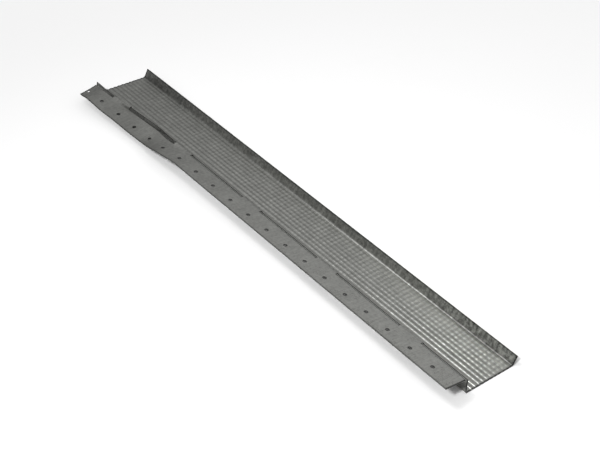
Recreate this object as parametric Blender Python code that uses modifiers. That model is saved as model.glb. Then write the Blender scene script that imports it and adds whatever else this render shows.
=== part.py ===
"""Resilient bar: a cut length of roll-formed steel ceiling bar, with its far end bent down.

The bar is made here as it is made in the mill. A flat strip is laid out with its developed
width, the slots and the fixing holes are punched in it, and it is then folded to its section.
The bar lies along X with the wide face down, the fixing flange towards -Y and the lip
towards +Y. Lengths are in metres and angles in degrees.
"""
import math

import bmesh
import bpy
import numpy as np
from mathutils import Matrix

# Overall sizes
LENGTH = 0.502
SHEET = 0.0005
DEPTH = 0.016
FACE_WIDTH = 0.0513
LIP_LENGTH = 0.0093
FLANGE_WIDTH = 0.0245

# Angles of the section
LIP_LEAN = 24.0
WEB_LEAN = 4.0
FLANGE_RISE = 7.5

# Fold radii, at the middle of the sheet
LIP_RADIUS = 0.003
WEB_RADIUS = 0.001
FLANGE_RADIUS = 0.001
FOLD_STEPS = 4

# Ribs rolled along the face, lower towards the lip
RIB_PITCH = 0.0045
RIB_CREST = 0.0012
RIB_RAMP = 0.0008
RIB_HEIGHT_AT_WEB = 0.0005
RIB_HEIGHT_AT_LIP = 0.0002

# Slots on the fold between web and flange, measured along from the far end, and how much of
# a slot's width lies on each side of the fold's sharp corner
SLOT_LENGTH = 0.075
SLOT_PITCH = 0.100
FIRST_SLOT = -0.0465
SLOT_ON_WEB = 0.0010
SLOT_ON_FLANGE = 0.0030

# Fixing holes along the flange, measured from the far end
HOLE_DIAMETER = 0.003
HOLE_PITCH = 0.025
FIRST_HOLE = 0.0033
HOLE_FROM_WEB = 0.0148

# Facets round a hole and round a slot's ends
HOLE_SIDES = 12
SLOT_SIDES = 16

# The bent far end, as (distance from that end, value) stations: the flange's mean rise, how much
# it is dished across its width, how far the slotted fold has turned over, how far the web
# leans outwards as a whole and how far it has buckled. The buckle runs through the web's
# strips, face side first, in the shares given.
BENT_RISE = (
    (0.000, 0.5),
    (0.014, 2.5),
    (0.028, -0.5),
    (0.054, -2.0),
    (0.080, -8.0),
    (0.100, -10.0),
    (0.116, -1.5),
    (0.132, 2.5),
    (0.148, 5.5),
    (0.162, 8.5),
    (0.176, FLANGE_RISE),
)
FLANGE_DISH = (
    (0.000, 9.0),
    (0.028, 6.0),
    (0.054, 0.0),
    (0.080, 29.0),
    (0.100, 22.0),
    (0.132, 3.0),
    (0.150, 0.0),
)
FOLD_TURN = (
    (0.000, 95.0),
    (0.014, 25.0),
    (0.028, 18.0),
    (0.054, 84.0),
    (0.080, 84.0),
    (0.100, 92.0),
    (0.128, 29.0),
    (0.150, 0.0),
)
WEB_SWAY = (
    (0.000, 11.0),
    (0.028, 1.0),
    (0.054, -4.0),
    (0.100, -5.0),
    (0.116, 0.0),
)
WEB_BUCKLE = (
    (0.000, 36.0),
    (0.014, 62.0),
    (0.028, 75.0),
    (0.054, 59.0),
    (0.080, 38.0),
    (0.100, 17.0),
    (0.116, 0.0),
)
BUCKLE_SHARES = (0.0, 1.0, 0.5, -0.6, -0.6)
# How far the flange's outer corner has been pushed back along the bar, fading out by END_SKEW_OVER
END_SKEW = 0.006
END_SKEW_OVER = 0.028
BEND_STEP = 0.005
FLANGE_STRIPS = 6

STEEL_COLOUR = (0.40, 0.41, 0.39, 1.0)


def clear_scene():
    for thing in list(bpy.data.objects):
        bpy.data.objects.remove(thing, do_unlink=True)


def new_collection(name):
    collection = bpy.data.collections.new(name)
    bpy.context.scene.collection.children.link(collection)
    return collection


def galvanised_steel():
    material = bpy.data.materials.new("galvanised_steel")
    material.use_nodes = True
    shader = material.node_tree.nodes["Principled BSDF"]
    shader.inputs["Base Color"].default_value = STEEL_COLOUR
    shader.inputs["Metallic"].default_value = 0.9
    shader.inputs["Roughness"].default_value = 0.45
    return material


def set_back(radius, turn):
    """Distance from a sharp corner to where a fold of this radius starts."""
    return radius * math.tan(math.radians(abs(turn)) / 2)


def fold_steps(radius, start, turn):
    """Short straight steps round a fold, as (length, direction)."""
    length = radius * math.radians(abs(turn)) / FOLD_STEPS
    return [(length, start + turn * (i + 0.5) / FOLD_STEPS) for i in range(FOLD_STEPS)]


def rib_steps(width):
    """Steps across the ribbed face from lip to web, with the ribs centred on its width."""
    rib_width = RIB_CREST + 2 * RIB_RAMP
    count = int((width - rib_width) / RIB_PITCH) + 1
    margin = (width - rib_width - (count - 1) * RIB_PITCH) / 2
    steps = [(margin, 180.0)]
    for height in np.linspace(RIB_HEIGHT_AT_LIP, RIB_HEIGHT_AT_WEB, count):
        slope = math.degrees(math.atan2(height, RIB_RAMP))
        ramp = math.hypot(height, RIB_RAMP)
        steps += [(ramp, 180.0 - slope), (RIB_CREST, 180.0), (ramp, 180.0 + slope)]
        steps += [(RIB_PITCH - rib_width, 180.0)]
    return steps[:-1] + [(margin, 180.0)]


def straight_section():
    """The whole section from the lip's edge to the flange's edge.

    Returns the steps as (length, direction), with the indexes of the first step of the web and
    of the slotted fold. A direction of 180 runs towards -Y, and less than 180 there climbs.
    """
    lip_way = 270.0 - LIP_LEAN
    web_way = 90.0 + WEB_LEAN
    flange_way = 180.0 - FLANGE_RISE
    lip_back = set_back(LIP_RADIUS, 180.0 - lip_way)
    web_back = set_back(WEB_RADIUS, web_way - 180.0)
    flange_back = set_back(FLANGE_RADIUS, flange_way - web_way)
    web = (DEPTH - SHEET) / math.cos(math.radians(WEB_LEAN)) - web_back - SLOT_ON_WEB
    strips = len(BUCKLE_SHARES)
    flange = FLANGE_WIDTH - SLOT_ON_FLANGE

    steps = [(LIP_LENGTH - lip_back, lip_way)]
    steps += fold_steps(LIP_RADIUS, lip_way, 180.0 - lip_way)
    steps += rib_steps(FACE_WIDTH - lip_back - web_back)
    steps += fold_steps(WEB_RADIUS, 180.0, web_way - 180.0)
    web_start = len(steps)
    steps += [(web / strips, web_way)] * strips
    slotted = len(steps)
    steps += [(SLOT_ON_WEB - flange_back, web_way)]
    steps += fold_steps(FLANGE_RADIUS, web_way, flange_way - web_way)
    steps += [(SLOT_ON_FLANGE - flange_back, flange_way)]
    steps += [(flange / FLANGE_STRIPS, flange_way)] * FLANGE_STRIPS
    return steps, web_start, slotted


STEPS, WEB_START, SLOTTED = straight_section()
STEP_LENGTHS = np.array([length for length, way in STEPS])
STEP_WAYS = np.array([way for length, way in STEPS])
ROWS = np.concatenate([[0.0], np.cumsum(STEP_LENGTHS)])
FLANGE_START = len(STEPS) - FLANGE_STRIPS
SLOT_WIDTH = ROWS[FLANGE_START] - ROWS[SLOTTED]
FOLD_CENTRE = ROWS[SLOTTED] + SLOT_WIDTH / 2
BEND_END = BENT_RISE[-1][0]


def ways_at(from_far_end):
    """Directions of the section's steps, at a distance from the bent end."""
    ways = STEP_WAYS.copy()
    if from_far_end >= BEND_END:
        return ways
    rise = np.interp(from_far_end, *zip(*BENT_RISE))
    dish = np.interp(from_far_end, *zip(*FLANGE_DISH))
    turn = np.interp(from_far_end, *zip(*FOLD_TURN))
    sway = np.interp(from_far_end, *zip(*WEB_SWAY))
    buckle = np.interp(from_far_end, *zip(*WEB_BUCKLE))
    across = (np.arange(FLANGE_STRIPS) + 0.5) / FLANGE_STRIPS - 0.5
    ways[WEB_START:SLOTTED] += sway + buckle * np.array(BUCKLE_SHARES)
    ways[SLOTTED:FLANGE_START] += turn
    ways[FLANGE_START:] = 180.0 - rise - dish * across
    return ways


def pushed_back(from_far_end, row):
    """How far a point of the flange has moved along the bar: in proportion across the flange."""
    across = (row - ROWS[FLANGE_START]) / (ROWS[-1] - ROWS[FLANGE_START])
    fade = 1.0 - from_far_end / END_SKEW_OVER
    return END_SKEW * max(across, 0.0) * max(fade, 0.0)


def section_sides(from_far_end):
    """Section of both sides of the sheet: points (y, z) of each row, lower side first."""
    way = np.radians(ways_at(from_far_end))
    step = np.stack([np.cos(way), np.sin(way)], axis=1) * STEP_LENGTHS[:, None]
    middle = np.concatenate([[[0.0, 0.0]], np.cumsum(step, axis=0)])
    before = np.concatenate([way[:1], way])
    after = np.concatenate([way, way[-1:]])
    mean = (before + after) / 2
    reach = SHEET / 2 / np.cos((after - before) / 2)
    normal = np.stack([np.sin(mean), -np.cos(mean)], axis=1) * reach[:, None]
    return middle - normal, middle + normal


def flat_blank(collection):
    """The flat strip: one quad for each row, with extra lines across where it will bend."""
    half = LENGTH / 2
    points = [(x, row, 0.0) for row in ROWS for x in (-half, half)]
    quads = [(2 * i, 2 * i + 1, 2 * i + 3, 2 * i + 2) for i in range(len(STEPS))]
    mesh = bpy.data.meshes.new("blank")
    mesh.from_pydata(points, [], quads)
    blank = bmesh.new()
    blank.from_mesh(mesh)
    for i in range(1, int(BEND_END / BEND_STEP) + 1):
        bent = [f for f in blank.faces if f.calc_center_median().y > ROWS[WEB_START]]
        parts = bent + list({e for f in bent for e in f.edges}) + list({v for f in bent for v in f.verts})
        bmesh.ops.bisect_plane(
            blank, geom=parts, plane_co=(i * BEND_STEP - half, 0.0, 0.0), plane_no=(1.0, 0.0, 0.0))
    blank.to_mesh(mesh)
    blank.free()
    sheet = bpy.data.objects.new("blank", mesh)
    collection.objects.link(sheet)
    thicken = sheet.modifiers.new("thickness", "SOLIDIFY")
    thicken.thickness = SHEET
    thicken.offset = 0.0
    return sheet


def punch(collection, name, x, row, length, width, sides):
    """A punch with round ends, from a cylinder whose two halves are drawn apart along X."""
    mesh = bpy.data.meshes.new(name)
    tool = bmesh.new()
    bmesh.ops.create_cone(
        tool, cap_ends=True, segments=sides, radius1=width / 2, radius2=width / 2, depth=4 * SHEET)
    bmesh.ops.rotate(
        tool, verts=tool.verts, cent=(0, 0, 0),
        matrix=Matrix.Rotation(math.pi / sides, 3, "Z"))
    for vertex in tool.verts:
        vertex.co.x += math.copysign((length - width) / 2, vertex.co.x)
    tool.to_mesh(mesh)
    tool.free()
    cutter = bpy.data.objects.new(name, mesh)
    cutter.location = (x, row, 0.0)
    cutter.display_type = "WIRE"
    cutter.hide_render = True
    collection.objects.link(cutter)
    return cutter


def slot_punches(collection):
    count = math.ceil((LENGTH - FIRST_SLOT) / SLOT_PITCH)
    for i in range(count):
        x = FIRST_SLOT + i * SLOT_PITCH + SLOT_LENGTH / 2 - LENGTH / 2
        punch(collection, f"slot_punch_{i + 1}", x, FOLD_CENTRE, SLOT_LENGTH, SLOT_WIDTH, SLOT_SIDES)


def hole_punches(collection):
    row = ROWS[-1] - FLANGE_WIDTH + HOLE_FROM_WEB
    count = int((LENGTH - FIRST_HOLE) / HOLE_PITCH) + 1
    for i in range(count):
        x = FIRST_HOLE + i * HOLE_PITCH - LENGTH / 2
        punch(collection, f"hole_punch_{i + 1}", x, row, HOLE_DIAMETER, HOLE_DIAMETER, HOLE_SIDES)


def punched_mesh(sheet, cutters):
    """The blank's mesh with every punch taken out of it, in triangles."""
    cut = sheet.modifiers.new("punched", "BOOLEAN")
    cut.operation = "DIFFERENCE"
    cut.solver = "EXACT"
    cut.operand_type = "COLLECTION"
    cut.collection = cutters
    bpy.context.view_layer.update()
    evaluated = sheet.evaluated_get(bpy.context.evaluated_depsgraph_get())
    mesh = bpy.data.meshes.new_from_object(evaluated)
    work = bmesh.new()
    work.from_mesh(mesh)
    bmesh.ops.triangulate(work, faces=work.faces)
    work.to_mesh(mesh)
    work.free()
    return mesh


def fold_mesh(mesh):
    """Carries every point of the flat strip to its place in the folded section."""
    sections = {}
    for vertex in mesh.vertices:
        x, row, height = vertex.co
        key = round(x, 6)
        if key not in sections:
            sections[key] = section_sides(x + LENGTH / 2)
        side = sections[key][1 if height > 0 else 0]
        along = x + pushed_back(x + LENGTH / 2, row)
        vertex.co = (along, np.interp(row, ROWS, side[:, 0]), np.interp(row, ROWS, side[:, 1]))
    mesh.flip_normals()


def seat_on_floor(mesh):
    """Puts the origin under the middle of the bar, level with its lowest face."""
    points = np.array([vertex.co[:] for vertex in mesh.vertices])
    low, high = points.min(axis=0), points.max(axis=0)
    shift = np.array([-(low[0] + high[0]) / 2, -(low[1] + high[1]) / 2, -low[2]])
    mesh.vertices.foreach_set("co", (points + shift).ravel())
    mesh.update()


def make_bar():
    clear_scene()
    bars = new_collection("resilient_bar")
    cutters = new_collection("cutters")
    slot_punches(cutters)
    hole_punches(cutters)
    sheet = flat_blank(bars)
    mesh = punched_mesh(sheet, cutters)
    bpy.data.objects.remove(sheet, do_unlink=True)
    fold_mesh(mesh)
    seat_on_floor(mesh)
    mesh.name = "resilient_bar"
    mesh.shade_smooth()
    mesh.set_sharp_from_angle(angle=math.radians(30.0))
    mesh.materials.append(galvanised_steel())
    bar = bpy.data.objects.new("resilient_bar", mesh)
    bars.objects.link(bar)


make_bar()
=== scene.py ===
"""Resilient bar: the rolled and knurled steel sheet, its galvanised finish, and a plain studio."""

import math
from types import SimpleNamespace

import bpy
import numpy as np
from mathutils import Matrix, Vector


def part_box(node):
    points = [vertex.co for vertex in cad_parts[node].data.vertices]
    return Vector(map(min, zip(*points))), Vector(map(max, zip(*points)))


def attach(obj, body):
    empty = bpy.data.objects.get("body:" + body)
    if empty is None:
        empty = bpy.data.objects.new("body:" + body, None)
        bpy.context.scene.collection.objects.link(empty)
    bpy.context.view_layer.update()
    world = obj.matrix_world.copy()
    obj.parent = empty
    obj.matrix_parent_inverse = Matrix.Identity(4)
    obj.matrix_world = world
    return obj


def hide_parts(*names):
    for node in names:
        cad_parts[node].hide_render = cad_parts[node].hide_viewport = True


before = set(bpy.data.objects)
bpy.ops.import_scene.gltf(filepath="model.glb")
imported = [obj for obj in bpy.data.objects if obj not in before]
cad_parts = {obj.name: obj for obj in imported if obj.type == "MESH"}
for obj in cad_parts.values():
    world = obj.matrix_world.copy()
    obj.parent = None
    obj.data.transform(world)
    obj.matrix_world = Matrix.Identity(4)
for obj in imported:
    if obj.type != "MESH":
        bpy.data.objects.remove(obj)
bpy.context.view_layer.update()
BAR_LOW, BAR_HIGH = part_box("resilient_bar")

# Sizes of the bar, in metres and degrees, as the solid has them
LENGTH = BAR_HIGH.x - BAR_LOW.x
SHEET = 0.0005
DEPTH = 0.016
FACE_WIDTH = 0.0513
LIP_LENGTH = 0.0093
FLANGE_WIDTH = 0.0245
LIP_LEAN = 24.0
WEB_LEAN = 4.0
FLANGE_RISE = 7.5
LIP_RADIUS = 0.003
WEB_RADIUS = 0.001
FLANGE_RADIUS = 0.001

# Ribs rolled along the face
RIB_PITCH = 0.0045
RIB_CREST = 0.0012
RIB_RAMP = 0.0008
RIB_HEIGHT_AT_WEB = 0.0005
RIB_HEIGHT_AT_LIP = 0.0002

# Slots through the fold between web and flange, and fixing holes along the flange
SLOT_LENGTH = 0.075
SLOT_PITCH = 0.100
SLOT_ON_WEB = 0.0010
SLOT_ON_FLANGE = 0.0030
FIRST_SLOT = -0.0465
HOLE_DIAMETER = 0.003
HOLE_PITCH = 0.025
FIRST_HOLE = 0.0033
HOLE_FROM_WEB = 0.0148

# The bent far end, as (distance from that end, degrees): the flange's mean rise, its dish across
# its width, the turn of the slotted fold, the lean of the web and its buckle, which runs through
# the web's strips in the shares given
BENT_RISE = (
    (0.000, 0.5),
    (0.014, 2.5),
    (0.028, -0.5),
    (0.054, -2.0),
    (0.080, -8.0),
    (0.100, -10.0),
    (0.116, -1.5),
    (0.132, 2.5),
    (0.148, 5.5),
    (0.162, 8.5),
    (0.176, FLANGE_RISE),
)
FLANGE_DISH = (
    (0.000, 9.0),
    (0.028, 6.0),
    (0.054, 0.0),
    (0.080, 29.0),
    (0.100, 22.0),
    (0.132, 3.0),
    (0.150, 0.0),
)
FOLD_TURN = (
    (0.000, 95.0),
    (0.014, 25.0),
    (0.028, 18.0),
    (0.054, 84.0),
    (0.080, 84.0),
    (0.100, 92.0),
    (0.128, 29.0),
    (0.150, 0.0),
)
WEB_SWAY = (
    (0.000, 11.0),
    (0.028, 1.0),
    (0.054, -4.0),
    (0.100, -5.0),
    (0.116, 0.0),
)
WEB_BUCKLE = (
    (0.000, 36.0),
    (0.014, 62.0),
    (0.028, 75.0),
    (0.054, 59.0),
    (0.080, 38.0),
    (0.100, 17.0),
    (0.116, 0.0),
)
BUCKLE_SHARES = (0.0, 1.0, 0.5, -0.6, -0.6)

# How far the flange's outer corner is pushed back along the bar, and where that ends; and how far
# either way the tables above are averaged
END_SKEW = 0.006
END_SKEW_OVER = 0.028
BEND_EASE = 0.005
EASE_READINGS = 9

# Straight steps that each stretch of the section is cut into
LIP_STRIPS = 3
LIP_FOLD_STRIPS = 6
FOLD_STRIPS = 4
SLOT_STRIPS = 2
TO_HOLE_STRIPS = 3
HOLE_STRIPS = 4
EDGE_STRIPS = 3

# The knurl that crosses the ribs: its grooves to each hole's pitch, half a groove's width, the
# share of a rib's height that it takes beside the web and beside the lip, and its depth on the lip
GROOVES_A_HOLE = 5.5
KNURL_PITCH = HOLE_PITCH / GROOVES_A_HOLE
KNURL_HALF = 0.0006
KNURL_AT_WEB = 0.15
KNURL_AT_LIP = 0.75
LIP_GROOVE = 0.00010

# Closest that a groove comes to another station, how far off a ring's square its points may be as a
# share of its radius, a length too small to count, and the angle from which an edge is sharp
KNURL_CLEAR = 0.00012
RING_OFF = 0.05
TINY = 1e-6
CREASE_ANGLE = 42.0

# Colour of the steel, the shares of its tone that are even, cloudy, grainy and streaked, and the
# noise of each kind. The streaks' noise is laid out finer along the bar than across it.
STEEL_COLOUR = (0.435, 0.439, 0.417)
PLAIN, CLOUDY, GRAINY, STREAKED = 0.26, 0.36, 0.62, 0.50
CLOUD = dict(Scale=60.0, Detail=3.0, Roughness=0.6)
GRAIN = dict(Scale=450.0, Detail=2.0, Roughness=0.6)
STREAK = dict(Scale=1.0, Detail=2.0, Roughness=0.5)
PATCH = dict(Scale=300.0, Detail=2.0, Roughness=0.7)
STREAKS_ALONG, STREAKS_ACROSS = 900.0, 60.0

# Stretches of the bar over which its finish and its painted light and shade change, measured from
# the bent end
WHOLE_BAR = (0.0, 0.45)
NEAR_END = (0.33, 0.48)
PAST_BEND = (0.0, 0.33)
IN_BEND = (0.07, 0.14)
DULL_END = (0.05, 0.33)
LIP_END = (0.01, 0.10)

# Painted light along the bar: the tone at the bent end, and what it gains towards the near end
END_TONE, LENGTH_TONE = 0.95, 0.32

# Dark edges, partly the cut's bare steel and partly painted shade: how far in from the ends and
# from the sides they start to fade and where they end, the sides' share, the width of the painted
# shade round holes and slots, and how dark all of these are
EDGE_FROM, SIDE_FROM, EDGE_SHADE = 0.0004, 0.0001, 0.0018
SIDE_SHARE = 0.75
HOLE_SHADE_WIDTH = 0.0007
SLOT_SHADE_WIDTH = 0.0004
EDGE_DARK = 0.85

# Painted shade: how dark the under side is, under web and face and under the flange, and the bent
# flange
WEB_DARK = 0.50
UNDER_DARK = 0.90
BENT_DARK = 0.12

# The ribs: how much a painted highlight lightens the face at the near end, how dark the painted
# shade in its valleys is there, and how dark the painted shade on the crests is elsewhere
NEAR_LIGHT = 0.06
VALLEY_DARK = 0.22
CREST_DARK = 0.15

# The knurl's marks on the face, painted shade in its grooves and painted light between them: how
# strong, the share of it at the bent end, and the height of the knurl's wave that leaves the tone
# as it is
WAFFLE, WAFFLE_AT_BEND, WAFFLE_MIDDLE = 0.27, 0.3, 0.7

# The lip's painted shade: how far inside its fold's two rows it fades, how far inside them the
# fold's own does, how dark the fold is and what that gains at the near end, and how dark the bent
# end is
LIP_EASE_IN, LIP_EASE_OUT = 0.0011, 0.0005
LIP_FOLD_EASE = 0.0012
LIP_FOLD_DARK, LIP_FOLD_NEAR = 0.24, 0.50
LIP_END_DARK = 0.5

# Blotches on the lip, which also darken it as a whole as painted shade: how strong, what that gains
# at the near end, the blotch that leaves the tone as it is, the share of the knurl's wave in the
# noise, and the noise from which to which one grows
LIP_MARKS, LIP_MARKS_NEAR, LIP_DARK = 0.45, 0.35, 0.72
BLOTCH_WAVE, BLOTCH = 0.08, (0.36, 0.72)

# Roughness, plain and by cloud, grain, knurl and the dull end, and heights of the fine relief: of
# grain, streaks and crests, the share of a crest's in a groove, and how lively it is along the bar
ROUGH_PLAIN, ROUGH_CLOUD, ROUGH_GRAIN, ROUGH_KNURL, ROUGH_END = 0.20, 0.10, 0.08, 0.07, 0.16
GRAIN_BUMP = 0.00003
STREAK_BUMP = 0.00002
RIB_BUMP, RIB_BUMP_GROOVE = 0.00013, 0.3
BUMP_AT_BEND, BUMP_PAST_BEND, BUMP_NEAR = 0.1, 0.6, 0.9

# Light: a room that brightens between two heights, a soft sun, a soft box and a pale floor
ROOM_LOW, ROOM_HIGH = 0.10, 0.46
ROOM_RISE = (0.10, 0.55)
SUN_FROM, SUN_STRENGTH, SUN_ANGLE = (0.17, -0.66, 0.72), 2.30, 8.0
BOX_PLACE, BOX_AIM = (-0.10, -0.30, 0.70), (0.20, 0.0, 0.0)
BOX_SIZE, BOX_ENERGY, BOX_SPREAD = (0.24, 0.24), 0.44, 80.0
FLOOR_HALF, FLOOR_WHITE, FLOOR_ROUGH = 8.0, 0.95, 0.9

# Camera, fitted to the photograph
FOCAL_PX = 1310.5
PHOTO_WIDTH = 600
SENSOR = 36.0
CLIP_START = 0.01
CAMERA_PLACE = Vector((0.67816, -0.59833, 0.69045))
CAMERA_AIM = Vector((-0.57804, 0.53888, -0.61276))
CAMERA_RIGHT = Vector((0.63525, 0.76850, 0.07659))


class Shade:
    """A socket of a node tree. An expression on it adds the Math nodes that work it out."""

    def __init__(self, tree, socket=None):
        self.tree = tree
        self.socket = socket

    def node(self, kind, settings=None, *values, out=0, **named):
        """Adds a node: its settings first, then its inputs' values or links, by place or name."""
        node = self.tree.nodes.new(kind)
        for name, value in (settings or {}).items():
            setattr(node, name, value)
        for key, value in {**dict(enumerate(values)), **named}.items():
            if isinstance(value, Shade):
                self.tree.links.new(value.socket, node.inputs[key])
            else:
                node.inputs[key].default_value = value
        return Shade(self.tree, node.outputs[out])

    def maths(self, operation, *values):
        """Adds a Math node."""
        return self.node("ShaderNodeMath", dict(operation=operation), *values)

    def least(self, other):
        """The lesser of the two."""
        return self.maths("MINIMUM", self, other)

    def most(self, other):
        """The greater of the two."""
        return self.maths("MAXIMUM", self, other)

    def fraction(self):
        """What it is more than the whole number below it."""
        return self.maths("FRACT", self)

    def cosine(self):
        """Its cosine, in radians."""
        return self.maths("COSINE", self)

    def size(self):
        """Itself without its sign."""
        return self.maths("ABSOLUTE", self)

    # Sum, difference, product, quotient and power; a number may come first in the first three

    def __add__(self, other):
        return self.maths("ADD", self, other)

    def __radd__(self, other):
        return self.maths("ADD", other, self)

    def __sub__(self, other):
        return self.maths("SUBTRACT", self, other)

    def __rsub__(self, other):
        return self.maths("SUBTRACT", other, self)

    def __mul__(self, other):
        return self.maths("MULTIPLY", self, other)

    def __rmul__(self, other):
        return self.maths("MULTIPLY", other, self)

    def __truediv__(self, other):
        return self.maths("DIVIDE", self, other)

    def __pow__(self, other):
        return self.maths("POWER", self, other)


def set_back(radius, turn):
    """Distance from a sharp corner to where its fold starts: radius times tan(half the turn)."""
    return radius * math.tan(math.radians(abs(turn)) / 2)


def fold(radius, start, turn, count):
    """Equal steps round a fold, as (length, direction, zone).

    Together they are as long as the arc, radius times turn. Each points as the arc's middle does.
    """
    length = radius * math.radians(abs(turn)) / count
    return [(length, start + turn * (i + 0.5) / count, "fold") for i in range(count)]


def straight(length, way, count=1, zone="flat"):
    """A flat stretch cut into equal steps, as (length, direction, zone)."""
    return [(length / count, way, zone)] * count


def ribbed_face(width):
    """Steps across the face: each rib climbs in two steps, crosses its crest and comes down in two.

    As many ribs as fit at their pitch lie in the middle of the width. Their height grows evenly
    from lip to web, and a ramp's slope is atan(height / run).
    """
    rib_width = RIB_CREST + 2 * RIB_RAMP
    count = int((width - rib_width) / RIB_PITCH) + 1
    margin = (width - rib_width - (count - 1) * RIB_PITCH) / 2
    steps = straight(margin, 180.0)
    for height in np.linspace(RIB_HEIGHT_AT_LIP, RIB_HEIGHT_AT_WEB, count):
        slope = math.degrees(math.atan2(height, RIB_RAMP))
        ramp = math.hypot(height, RIB_RAMP)
        steps += straight(ramp, 180.0 - slope, 2, "rib")
        steps += straight(RIB_CREST, 180.0, 1, "rib")
        steps += straight(ramp, 180.0 + slope, 2, "rib")
        steps += straight(RIB_PITCH - rib_width, 180.0, 1, "rib")
    return steps[:-1] + straight(margin, 180.0)


def section_steps():
    """The section as (length, direction, zone) steps, from the lip's edge to the flange's edge.

    A straight stretch between two folds is its length from corner to corner less both set backs.
    """
    lip_way, web_way, flange_way = 270.0 - LIP_LEAN, 90.0 + WEB_LEAN, 180.0 - FLANGE_RISE
    lip_back = set_back(LIP_RADIUS, 180.0 - lip_way)
    web_back = set_back(WEB_RADIUS, web_way - 180.0)
    flange_back = set_back(FLANGE_RADIUS, flange_way - web_way)
    web = (DEPTH - SHEET) / math.cos(math.radians(WEB_LEAN)) - web_back - SLOT_ON_WEB
    hole_radius = HOLE_DIAMETER / 2
    to_hole = HOLE_FROM_WEB - SLOT_ON_FLANGE - hole_radius
    steps = straight(LIP_LENGTH - lip_back, lip_way, LIP_STRIPS)
    steps += fold(LIP_RADIUS, lip_way, 180.0 - lip_way, LIP_FOLD_STRIPS)
    steps += ribbed_face(FACE_WIDTH - lip_back - web_back)
    steps += fold(WEB_RADIUS, 180.0, web_way - 180.0, FOLD_STRIPS)
    steps += straight(web, web_way, len(BUCKLE_SHARES), "web")
    steps += straight(SLOT_ON_WEB - flange_back, web_way, 1, "tip")
    flange_fold = fold(FLANGE_RADIUS, web_way, flange_way - web_way, FOLD_STRIPS)
    steps += [(length, way, "tip") for length, way, zone in flange_fold]
    steps += straight(SLOT_ON_FLANGE - flange_back, flange_way, SLOT_STRIPS, "tip")
    steps += straight(to_hole, flange_way, TO_HOLE_STRIPS, "flange")
    steps += straight(HOLE_DIAMETER, flange_way, HOLE_STRIPS, "flange")
    steps += straight(FLANGE_WIDTH - HOLE_FROM_WEB - hole_radius, flange_way, EDGE_STRIPS, "flange")
    return steps


# The steps' lengths, directions and zones, and each row's distance from the lip's edge
STEPS = section_steps()
STEP_LENGTHS = np.array([s[0] for s in STEPS])
STEP_WAYS = np.array([s[1] for s in STEPS])
TIP_STEPS, FLANGE_STEPS, WEB_STEPS, RIB_STEPS = [
    np.array([s[2] == zone for s in STEPS]) for zone in ("tip", "flange", "web", "rib")]
ROWS = np.concatenate([[0.0], np.cumsum(STEP_LENGTHS)])
STRIP_WIDTH = float(ROWS[-1])
LIP_ROW = float(ROWS[LIP_STRIPS])
FACE_ROW = float(ROWS[LIP_STRIPS + LIP_FOLD_STRIPS])
WEB_ROW = float(ROWS[:-1][WEB_STEPS].min())
SLOT_START = float(ROWS[:-1][TIP_STEPS].min())
SLOT_WIDTH = float(ROWS[1:][TIP_STEPS].max()) - SLOT_START
SLOT_ROW = SLOT_START + SLOT_WIDTH / 2
HOLE_ROW = STRIP_WIDTH - FLANGE_WIDTH + HOLE_FROM_WEB
FLANGE_ROW = float(ROWS[:-1][FLANGE_STEPS].min())
FLANGE_SPAN = float(STEP_LENGTHS[FLANGE_STEPS].sum())


def slot_spans():
    """Start and end of each slot, measured from the bent end: one every pitch."""
    starts = np.arange(FIRST_SLOT, LENGTH, SLOT_PITCH)
    return np.stack([starts, starts + SLOT_LENGTH], axis=1)


def hole_places():
    """Middle of each hole, measured from the bent end: one every pitch."""
    return np.arange(FIRST_HOLE, LENGTH, HOLE_PITCH)


def knurl_places():
    """Middle of each cross groove: one every pitch, half a pitch off the first hole."""
    return np.arange(FIRST_HOLE - KNURL_PITCH / 2, LENGTH, KNURL_PITCH)


def columns():
    """Stations along the bar: the ends, the knurl's grooves, the holes and the slots' ends.

    A groove's station that all but meets another one is left out.
    """
    hole_ring = HOLE_DIAMETER / 2 * np.array([-1, -0.5, 0, 0.5, 1])
    slot_ring = SLOT_WIDTH / 2 * np.array([0, 0.5, 1])
    knurl = KNURL_HALF * np.array([-1, 0, 1])
    spans = slot_spans()
    fixed = np.concatenate([
        [0.0, LENGTH],
        (hole_places()[:, None] + hole_ring).ravel(),
        (spans[:, :1] + slot_ring).ravel(),
        (spans[:, 1:] - slot_ring).ravel(),
    ])
    loose = (knurl_places()[:, None] + knurl).ravel()
    nearest = np.abs(loose[:, None] - fixed).min(axis=1)
    every = np.concatenate([fixed, loose[nearest > KNURL_CLEAR]])
    return np.unique(np.round(every[(every >= 0.0) & (every <= LENGTH)], 6))


def along_bend(x, table):
    """A value of the bent end, as a column: the mean of readings up to BEND_EASE either side.

    A reading lies on the straight line between the two stations of the table next to it.
    """
    around = x + np.linspace(-BEND_EASE, BEND_EASE, EASE_READINGS)[:, None]
    return np.interp(around, *zip(*table)).mean(axis=0)[:, None]


def step_ways(x):
    """Direction of each step at each station, in degrees, shaped (stations, steps).

    On the straight bar it is the section's. In the bent end the web's strips turn by their share of
    the buckle and by the sway, the slotted fold by its turn, and the flange has its bent rise and,
    in proportion to the distance from its middle, its dish.
    """
    buckle = np.zeros(len(STEPS))
    buckle[WEB_STEPS] = BUCKLE_SHARES
    ways = STEP_WAYS + along_bend(x, WEB_BUCKLE) * buckle + along_bend(x, WEB_SWAY) * WEB_STEPS
    bent = (x < BENT_RISE[-1][0])[:, None]
    ways = np.where(bent & TIP_STEPS, ways + along_bend(x, FOLD_TURN), ways)
    middles = ROWS[:-1][FLANGE_STEPS] + STEP_LENGTHS[FLANGE_STEPS] / 2
    across = np.zeros(len(STEPS))
    across[FLANGE_STEPS] = (middles - FLANGE_ROW) / FLANGE_SPAN - 0.5
    dished = 180.0 - along_bend(x, BENT_RISE) - along_bend(x, FLANGE_DISH) * across
    return np.where(bent & FLANGE_STEPS, dished, ways)


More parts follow.
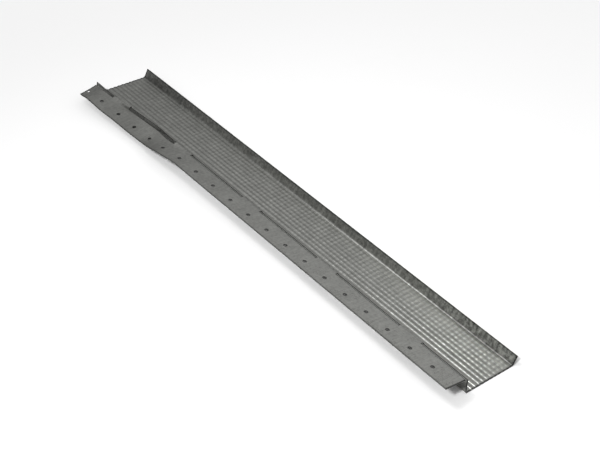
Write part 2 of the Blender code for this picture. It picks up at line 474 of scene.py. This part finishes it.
def sheet_surface(x):
    """Middle of the sheet at each station, a function of the distances along and across it.

    y and z are the running sums of length times cosine and sine of the steps' directions. The
    knurl's grooves then lower the ribs and dent the lip, and the flange's corner is skewed.
    Returns points shaped (stations, rows, 3) and the unit direction of the sheet across the bar.
    """
    way = np.radians(step_ways(x))
    start = np.zeros((len(x), 1))
    y = np.concatenate([start, np.cumsum(np.cos(way) * STEP_LENGTHS, axis=1)], axis=1)
    z = np.concatenate([start, np.cumsum(np.sin(way) * STEP_LENGTHS, axis=1)], axis=1)
    z -= rib_drop(x, z)
    y += lip_dent(x) * math.cos(math.radians(LIP_LEAN))
    z -= lip_dent(x) * math.sin(math.radians(LIP_LEAN))
    out = np.clip((ROWS - FLANGE_ROW) / FLANGE_SPAN, 0.0, 1.0)
    fade = np.clip(1.0 - x / END_SKEW_OVER, 0.0, 1.0)[:, None]
    points = np.stack([x[:, None] + END_SKEW * out * fade, y, z], axis=2)
    across = np.gradient(np.stack([y, z], axis=2), axis=1)
    across /= np.linalg.norm(across, axis=2, keepdims=True)
    return points, across


def groove_at(x):
    """1 on a cross groove's middle, falling in a straight line to 0 at its edges, as a column."""
    nearest = np.abs(x[:, None] - knurl_places()).min(axis=1)
    return np.clip(1.0 - nearest / KNURL_HALF, 0.0, 1.0)[:, None]


def rib_drop(x, z):
    """How far the cross grooves lower each point: its height on the rib times the groove's share.

    The share grows evenly from the web to the lip.
    """
    ribbed = np.zeros(len(ROWS), bool)
    ribbed[1:] |= RIB_STEPS
    ribbed[:-1] |= RIB_STEPS
    land = z[:, ribbed].min()
    height = np.where(ribbed, z - land, 0.0)
    share = np.interp(ROWS, [ROWS[ribbed].min(), ROWS[ribbed].max()], [KNURL_AT_LIP, KNURL_AT_WEB])
    return height * share * groove_at(x)


def lip_dent(x):
    """How far the cross grooves press the lip outwards: the arch of a sine wave across it."""
    lip = np.clip(ROWS / LIP_LENGTH, 0.0, 1.0)
    return LIP_GROOVE * np.sin(np.pi * lip) * groove_at(x)


def round_ring(dx, ds, radius, only=None):
    """Moves that bring a square ring of points onto the circle of the same half width.

    A point at (dx, ds) from the middle is on the ring if the larger of the two is the radius. Its
    offset is scaled by radius / length, so that only its distance changes.
    """
    square = np.maximum(np.abs(dx), np.abs(ds))
    on_ring = np.abs(square - radius) < radius * RING_OFF
    if only is not None:
        on_ring &= only
    reach = np.where(on_ring, radius / np.maximum(np.hypot(dx, ds), TINY), 1.0)
    return dx * (reach - 1.0), ds * (reach - 1.0)


def punched_sheet():
    """The folded sheet as one grid, with its slots and holes left out and their rims rounded.

    A face is left out if its middle lies in a hole's square or a slot's oblong. Moves across the
    sheet go along its own direction. Returns the points, their (along, across) places, the faces.
    """
    x = columns()
    points, across = sheet_surface(x)
    grid_x, grid_s = np.meshgrid(x, ROWS, indexing="ij")
    mid_x = (grid_x[:-1, :-1] + grid_x[1:, 1:]) / 2
    mid_s = (grid_s[:-1, :-1] + grid_s[1:, 1:]) / 2
    keep = np.ones(mid_x.shape, bool)
    moves = []
    radius = HOLE_DIAMETER / 2
    for place in hole_places():
        moves.append(round_ring(grid_x - place, grid_s - HOLE_ROW, radius))
        keep &= ~((np.abs(mid_x - place) < radius) & (np.abs(mid_s - HOLE_ROW) < radius))
    half = SLOT_WIDTH / 2
    for start, end in slot_spans():
        keep &= ~((mid_x > start) & (mid_x < end) & (np.abs(mid_s - SLOT_ROW) < half))
        for centre, outward in ((start + half, -1), (end - half, 1)):
            away = (grid_x - centre) * outward > TINY
            moves.append(round_ring(grid_x - centre, grid_s - SLOT_ROW, half, away))
    move_x, move_s = np.sum(moves, axis=0)
    points[:, :, 0] += move_x
    points[:, :, 1:] += move_s[:, :, None] * across
    rows = len(ROWS)
    corner = np.arange(len(x) - 1)[:, None] * rows + np.arange(rows - 1)[None, :]
    quads = np.stack([corner, corner + 1, corner + rows + 1, corner + rows], axis=2)[keep]
    flat = np.stack([grid_x + move_x, grid_s + move_s], axis=2)
    return points.reshape(-1, 3), flat.reshape(-1, 2), quads


def rib_crests():
    """For every row, 1 on a rib's crest, a half in the middle of its ramps and 0 between ribs."""
    level = np.isclose(STEP_WAYS, 180.0)
    crest = RIB_STEPS & level & np.isclose(STEP_LENGTHS, RIB_CREST)
    high = np.zeros(len(ROWS))
    high[:-1][crest] = 1.0
    high[1:][crest] = 1.0
    middle = RIB_STEPS & ~level & np.isclose(STEP_WAYS, np.roll(STEP_WAYS, 1))
    high[:-1][middle] = 0.5
    return high


def place_in_frame(points):
    """Moves the section, which starts at the lip's edge, to where the solid lies.

    The lip's outer edge meets the solid's high Y, and the lowest point of the sheet's middle lies
    half a sheet above its low Z.
    """
    moved = points.copy()
    lip_side = SHEET / 2 * math.cos(math.radians(LIP_LEAN))
    moved[:, 0] += BAR_LOW.x
    moved[:, 1] += BAR_HIGH.y - lip_side
    moved[:, 2] += BAR_LOW.z + SHEET / 2 - points[:, 2].min()
    return moved


def put_in_scene(name, data):
    """A new object of this mesh, lamp or camera, at the origin, in the scene."""
    thing = bpy.data.objects.new(name, data)
    bpy.context.scene.collection.objects.link(thing)
    return thing


def add_values(mesh, name, values):
    """Keeps one number a point in the mesh, for the material to read."""
    kept = mesh.attributes.new(name, "FLOAT", "POINT")
    kept.data.foreach_set("value", values.astype(np.float32))


def make_bar(material):
    """The bar: the sheet's middle, thickened by half a sheet to each side.

    Thickening keeps the first skin's points first, so those after them are on the under side.
    """
    points, flat, quads = punched_sheet()
    points = place_in_frame(points)
    used, index = np.unique(quads, return_inverse=True)
    mesh = bpy.data.meshes.new("bar_sheet")
    mesh.from_pydata(points[used].tolist(), [], index.reshape(-1, 4).tolist())
    mesh.update()
    crests = np.tile(rib_crests(), len(points) // len(ROWS))
    add_values(mesh, "along", flat[used, 0])
    add_values(mesh, "across", flat[used, 1])
    add_values(mesh, "crest", crests[used])
    bar = put_in_scene("bar_sheet", mesh)
    wall = bar.modifiers.new("sheet", "SOLIDIFY")
    wall.thickness = SHEET
    wall.offset = 0.0
    wall.use_even_offset = True
    finished = bar.evaluated_get(bpy.context.evaluated_depsgraph_get())
    solid = bpy.data.meshes.new_from_object(finished)
    bar.modifiers.clear()
    bar.data = solid
    bpy.data.meshes.remove(mesh)
    solid.name = "bar_sheet"
    add_values(solid, "under", np.arange(len(solid.vertices)) >= len(used))
    solid.shade_smooth()
    solid.set_sharp_from_angle(angle=math.radians(CREASE_ANGLE))
    solid.materials.clear()
    solid.materials.append(material)
    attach(bar, "root")
    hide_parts("resilient_bar")


def new_material(name):
    """A new material, as itself, a start for its nodes and its shader's sockets."""
    material = bpy.data.materials.new(name)
    material.use_nodes = True
    tree = material.node_tree
    return material, Shade(tree), tree.nodes["Principled BSDF"].inputs


def smooth_step(start, value, low, high):
    """0 below low, 1 above high, and 3 t^2 - 2 t^3 of the way t between them."""
    return start.node("ShaderNodeMapRange", dict(interpolation_type="SMOOTHSTEP"), value, low, high)


def band(start, value, low, high, ease):
    """1 between low and high, with a smooth fall to 0 over ease outside them."""
    rise = smooth_step(start, value, low - ease, low)
    return rise * (1.0 - smooth_step(start, value, high, high + ease))


def noise(start, where, kind):
    """Noise, about a half in the mean, of the scale, detail and roughness that its kind gives."""
    return start.node("ShaderNodeTexNoise", None, Vector=where, **kind)


def edge_shade(start, along, across):
    """1 at the cut ends and less at the long edges, falling smoothly to 0 a little way in."""
    # Dark edges: partly the cut's bare steel, partly painted shade
    ends = 1.0 - smooth_step(start, along.least(LENGTH - along), EDGE_FROM, EDGE_SHADE)
    sides = 1.0 - smooth_step(start, across.least(STRIP_WIDTH - across), SIDE_FROM, EDGE_SHADE)
    return ends.most(SIDE_SHARE * sides)


def hole_shade(start, along, across):
    """Painted shade, 1 at a hole's rim and 0 a little way out: by the distance to the nearest
    middle.
    """
    x = (((along - FIRST_HOLE) / HOLE_PITCH + 0.5).fraction() - 0.5) * HOLE_PITCH
    y = across - HOLE_ROW
    away = (x * x + y * y) ** 0.5
    return 1.0 - smooth_step(start, away, HOLE_DIAMETER / 2, HOLE_DIAMETER / 2 + HOLE_SHADE_WIDTH)


def slot_shade(start, along, across):
    """Painted shade, 1 at a slot's rim and 0 a little way out: by the distance past its ends or
    side.
    """
    x = ((along - FIRST_SLOT) / SLOT_PITCH).fraction() * SLOT_PITCH
    past = (x - SLOT_LENGTH).least(SLOT_PITCH - x)
    beside = (across - SLOT_ROW).size() - SLOT_WIDTH / 2
    return 1.0 - smooth_step(start, past.most(beside), 0.0, SLOT_SHADE_WIDTH)


def sheet_places(start):
    """Where a point lies on the sheet, as masks from 0 to 1, from the mesh's own values.

    The wave is 1 midway between two cross grooves and 0 in a groove: half of 1 + cosine.
    """
    at = SimpleNamespace(**{
        name: start.node("ShaderNodeAttribute", dict(attribute_name=name), out=2)
        for name in ("along", "across", "crest", "under")})
    # Dark edges, partly the cut's bare steel and partly painted shade, and painted shade round
    # holes and slots
    at.dark = edge_shade(start, at.along, at.across)
    at.dark = at.dark.most(hole_shade(start, at.along, at.across))
    at.dark = at.dark.most(slot_shade(start, at.along, at.across))
    at.wave = ((at.along - FIRST_HOLE) * (2 * math.pi / KNURL_PITCH)).cosine() * 0.5 + 0.5
    at.lip = 1.0 - smooth_step(start, at.across, LIP_ROW + LIP_EASE_IN, FACE_ROW - LIP_EASE_OUT)
    fold_rows = LIP_ROW + LIP_FOLD_EASE, FACE_ROW - LIP_FOLD_EASE
    at.lip_fold = band(start, at.across, *fold_rows, LIP_FOLD_EASE)
    at.knurled = 1.0 - smooth_step(start, at.across, FACE_ROW, WEB_ROW)
    at.flange = smooth_step(start, at.across, SLOT_START, SLOT_START + SLOT_WIDTH)
    at.near = smooth_step(start, at.along, *NEAR_END)
    at.past_bend = smooth_step(start, at.along, *PAST_BEND)
    at.bent = 1.0 - smooth_step(start, at.along, *IN_BEND)
    return at


def face_tone(start, at, grain):
    """Tone of the ribbed face, and painted light that lightens the whole bar towards the near end.

    Painted shade darkens rib tops a little away from the near end, and the valleys at it, beside a
    painted highlight there. The knurl's marks, painted shade in its grooves and light between them,
    are the middle less the wave, times twice the grain, and they grow away from the bent end.
    """
    # Painted light: the whole bar grows lighter towards the near end
    length = END_TONE + LENGTH_TONE * smooth_step(start, at.along, *WHOLE_BAR)
    # Painted shade on the crests away from the near end
    ribs = 1.0 - CREST_DARK * at.crest * (1.0 - at.near)
    face = (1.0 - at.lip) * at.knurled
    # The knurl's marks: painted shade in its grooves, painted light between them
    reach = WAFFLE * (WAFFLE_AT_BEND + (1.0 - WAFFLE_AT_BEND) * at.past_bend)
    marks_and_shade = 1.0 - reach * face * (WAFFLE_MIDDLE - at.wave) * 2.0 * grain
    # Painted highlight on the face and painted shade in its valleys, at the near end
    valleys = 1.0 + at.near * face * (NEAR_LIGHT - VALLEY_DARK * (1.0 - at.crest))
    return length * ribs * marks_and_shade * valleys


def lip_tone(start, at, place):
    """Tone of the lip: blotched by coarse noise, with painted shade over it all, its fold and bent
    end.

    A blotch is a smooth step of the noise plus a little of the knurl's wave.
    """
    blotch = smooth_step(start, BLOTCH_WAVE * at.wave + noise(start, place, PATCH), *BLOTCH)
    # Painted shade over the whole lip, with random blotches; and painted shade at the bent end and
    # in the fold
    marks_and_shade = 1.0 + at.lip * (LIP_MARKS + LIP_MARKS_NEAR * at.near) * (blotch - LIP_DARK)
    end = 1.0 - LIP_END_DARK * at.lip * (1.0 - smooth_step(start, at.along, *LIP_END))
    return marks_and_shade * end * (1.0 - at.lip_fold * (LIP_FOLD_DARK + LIP_FOLD_NEAR * at.near))


def hidden_tone(at):
    """Painted shade of what gets little light: the bent flange, the under side, edges and rims.

    The under side is darkest below the flange. The edges' darkness is partly the cut's bare steel.
    """
    # Painted shade on the bent flange
    flange = 1.0 - BENT_DARK * at.bent * at.flange
    # Dark edges and rims: partly the cut's bare steel, partly painted shade
    edges = 1.0 - EDGE_DARK * at.dark
    # Painted shade on the under side, darkest below the flange
    under = 1.0 - at.under * (WEB_DARK + (UNDER_DARK - WEB_DARK) * at.flange)
    return flange * edges * under


def galvanised_steel():
    """Zinc coated sheet, duller towards the bent end.

    Its colour is the steel's times a tone: the painted light and shade above times a sum of cloud,
    grain and streaks, which run across the bar. Its relief is grain, streaks and the ribs' crests,
    which swell between the cross grooves.
    """
    material, start, sockets = new_material("galvanised_steel")
    links = material.node_tree.links
    at = sheet_places(start)
    place = start.node("ShaderNodeTexCoord", out=3)
    cloud, grain = noise(start, place, CLOUD), noise(start, place, GRAIN)
    stretched = at.along * STREAKS_ALONG, at.across * STREAKS_ACROSS, 0.0
    streak = noise(start, start.node("ShaderNodeCombineXYZ", None, *stretched), STREAK)

    mottle = PLAIN + CLOUDY * cloud + GRAINY * grain + STREAKED * streak
    # Painted light and shade of face, lip, under side and edges, times the steel's own mottle
    tone = mottle * face_tone(start, at, grain) * lip_tone(start, at, place) * hidden_tone(at)
    grey = start.node("ShaderNodeCombineXYZ", None, tone, tone, tone)
    colour = start.node("ShaderNodeVectorMath", dict(operation="MULTIPLY"), grey, STEEL_COLOUR)
    links.new(colour.socket, sockets["Base Color"])

    dull = 1.0 - smooth_step(start, at.along, *DULL_END)
    rough = ROUGH_PLAIN + ROUGH_CLOUD * cloud + ROUGH_GRAIN * grain
    rough = rough + ROUGH_KNURL * at.knurled + ROUGH_END * dull
    links.new(rough.socket, sockets["Roughness"])
    sockets["Metallic"].default_value = 1.0

    swell = RIB_BUMP_GROOVE + (1.0 - RIB_BUMP_GROOVE) * at.wave
    lively = BUMP_AT_BEND + BUMP_PAST_BEND * at.past_bend + BUMP_NEAR * at.near
    ribs = RIB_BUMP * at.crest * at.knurled * swell * lively
    height = GRAIN_BUMP * grain + STREAK_BUMP * streak + ribs
    bump = start.node("ShaderNodeBump", None, Strength=1.0, Distance=1.0, Height=height)
    links.new(bump.socket, sockets["Normal"])
    return material


def soft_box(name, place, aim, size, energy, spread):
    """A rectangle of light at a place, turned towards another."""
    data = bpy.data.lights.new(name, "AREA")
    data.shape = "RECTANGLE"
    data.size, data.size_y = size
    data.energy = energy
    data.spread = math.radians(spread)
    lamp = put_in_scene(name, data)
    lamp.location = place
    lamp.rotation_euler = (Vector(aim) - lamp.location).to_track_quat("-Z", "Y").to_euler()


def soft_sun(name, direction, strength, angle):
    """Even light from a direction. Gloss doesn't show it: it would glare, seen from behind."""
    data = bpy.data.lights.new(name, "SUN")
    data.energy = strength
    data.angle = math.radians(angle)
    lamp = put_in_scene(name, data)
    lamp.visible_glossy = False
    lamp.rotation_euler = Vector(direction).to_track_quat("Z", "Y").to_euler()


def surround():
    """A grey room. Its light rises from low to high by a smooth step of the direction's height."""
    world = bpy.data.worlds.new("studio")
    bpy.context.scene.world = world
    world.use_nodes = True
    start = Shade(world.node_tree)
    direction = start.node("ShaderNodeTexCoord")
    height = start.node("ShaderNodeSeparateXYZ", None, direction, out=2)
    light = ROOM_LOW + (ROOM_HIGH - ROOM_LOW) * smooth_step(start, height, *ROOM_RISE)
    background = world.node_tree.nodes["Background"].inputs
    background["Color"].default_value = (1.0, 1.0, 1.0, 1.0)
    world.node_tree.links.new(light.socket, background["Strength"])


def white_floor():
    """A plain pale square under the bar, without gloss."""
    far = FLOOR_HALF
    corners = [(-far, -far, 0.0), (far, -far, 0.0), (far, far, 0.0), (-far, far, 0.0)]
    mesh = bpy.data.meshes.new("floor")
    mesh.from_pydata(corners, [], [(0, 1, 2, 3)])
    floor = put_in_scene("floor", mesh)
    material, _, sockets = new_material("floor_white")
    sockets["Base Color"].default_value = (FLOOR_WHITE, FLOOR_WHITE, FLOOR_WHITE, 1.0)
    sockets["Roughness"].default_value = FLOOR_ROUGH
    sockets["Specular IOR Level"].default_value = 0.0
    mesh.materials.append(material)


def studio():
    """A pale floor in a soft grey room, with a soft sun beside the camera and one soft box."""
    bpy.context.scene.view_settings.view_transform = "Standard"
    surround()
    white_floor()
    soft_sun("front_light", SUN_FROM, SUN_STRENGTH, SUN_ANGLE)
    soft_box("soft_box", BOX_PLACE, BOX_AIM, BOX_SIZE, BOX_ENERGY, BOX_SPREAD)


def camera():
    """The photograph's camera.

    Its lens is the focal length in pixels over the photo's width, times the sensor's width. Its up
    is square to its aim and to its right.
    """
    data = bpy.data.cameras.new("camera")
    data.sensor_width = SENSOR
    data.lens = FOCAL_PX / PHOTO_WIDTH * SENSOR
    data.clip_start = CLIP_START
    eye = put_in_scene("camera", data)
    right = CAMERA_RIGHT.normalized()
    back = -CAMERA_AIM.normalized()
    turn = Matrix((right, back.cross(right), back)).transposed().to_4x4()
    eye.matrix_world = Matrix.Translation(CAMERA_PLACE) @ turn
    bpy.context.scene.camera = eye


camera()
studio()
make_bar(galvanised_steel())
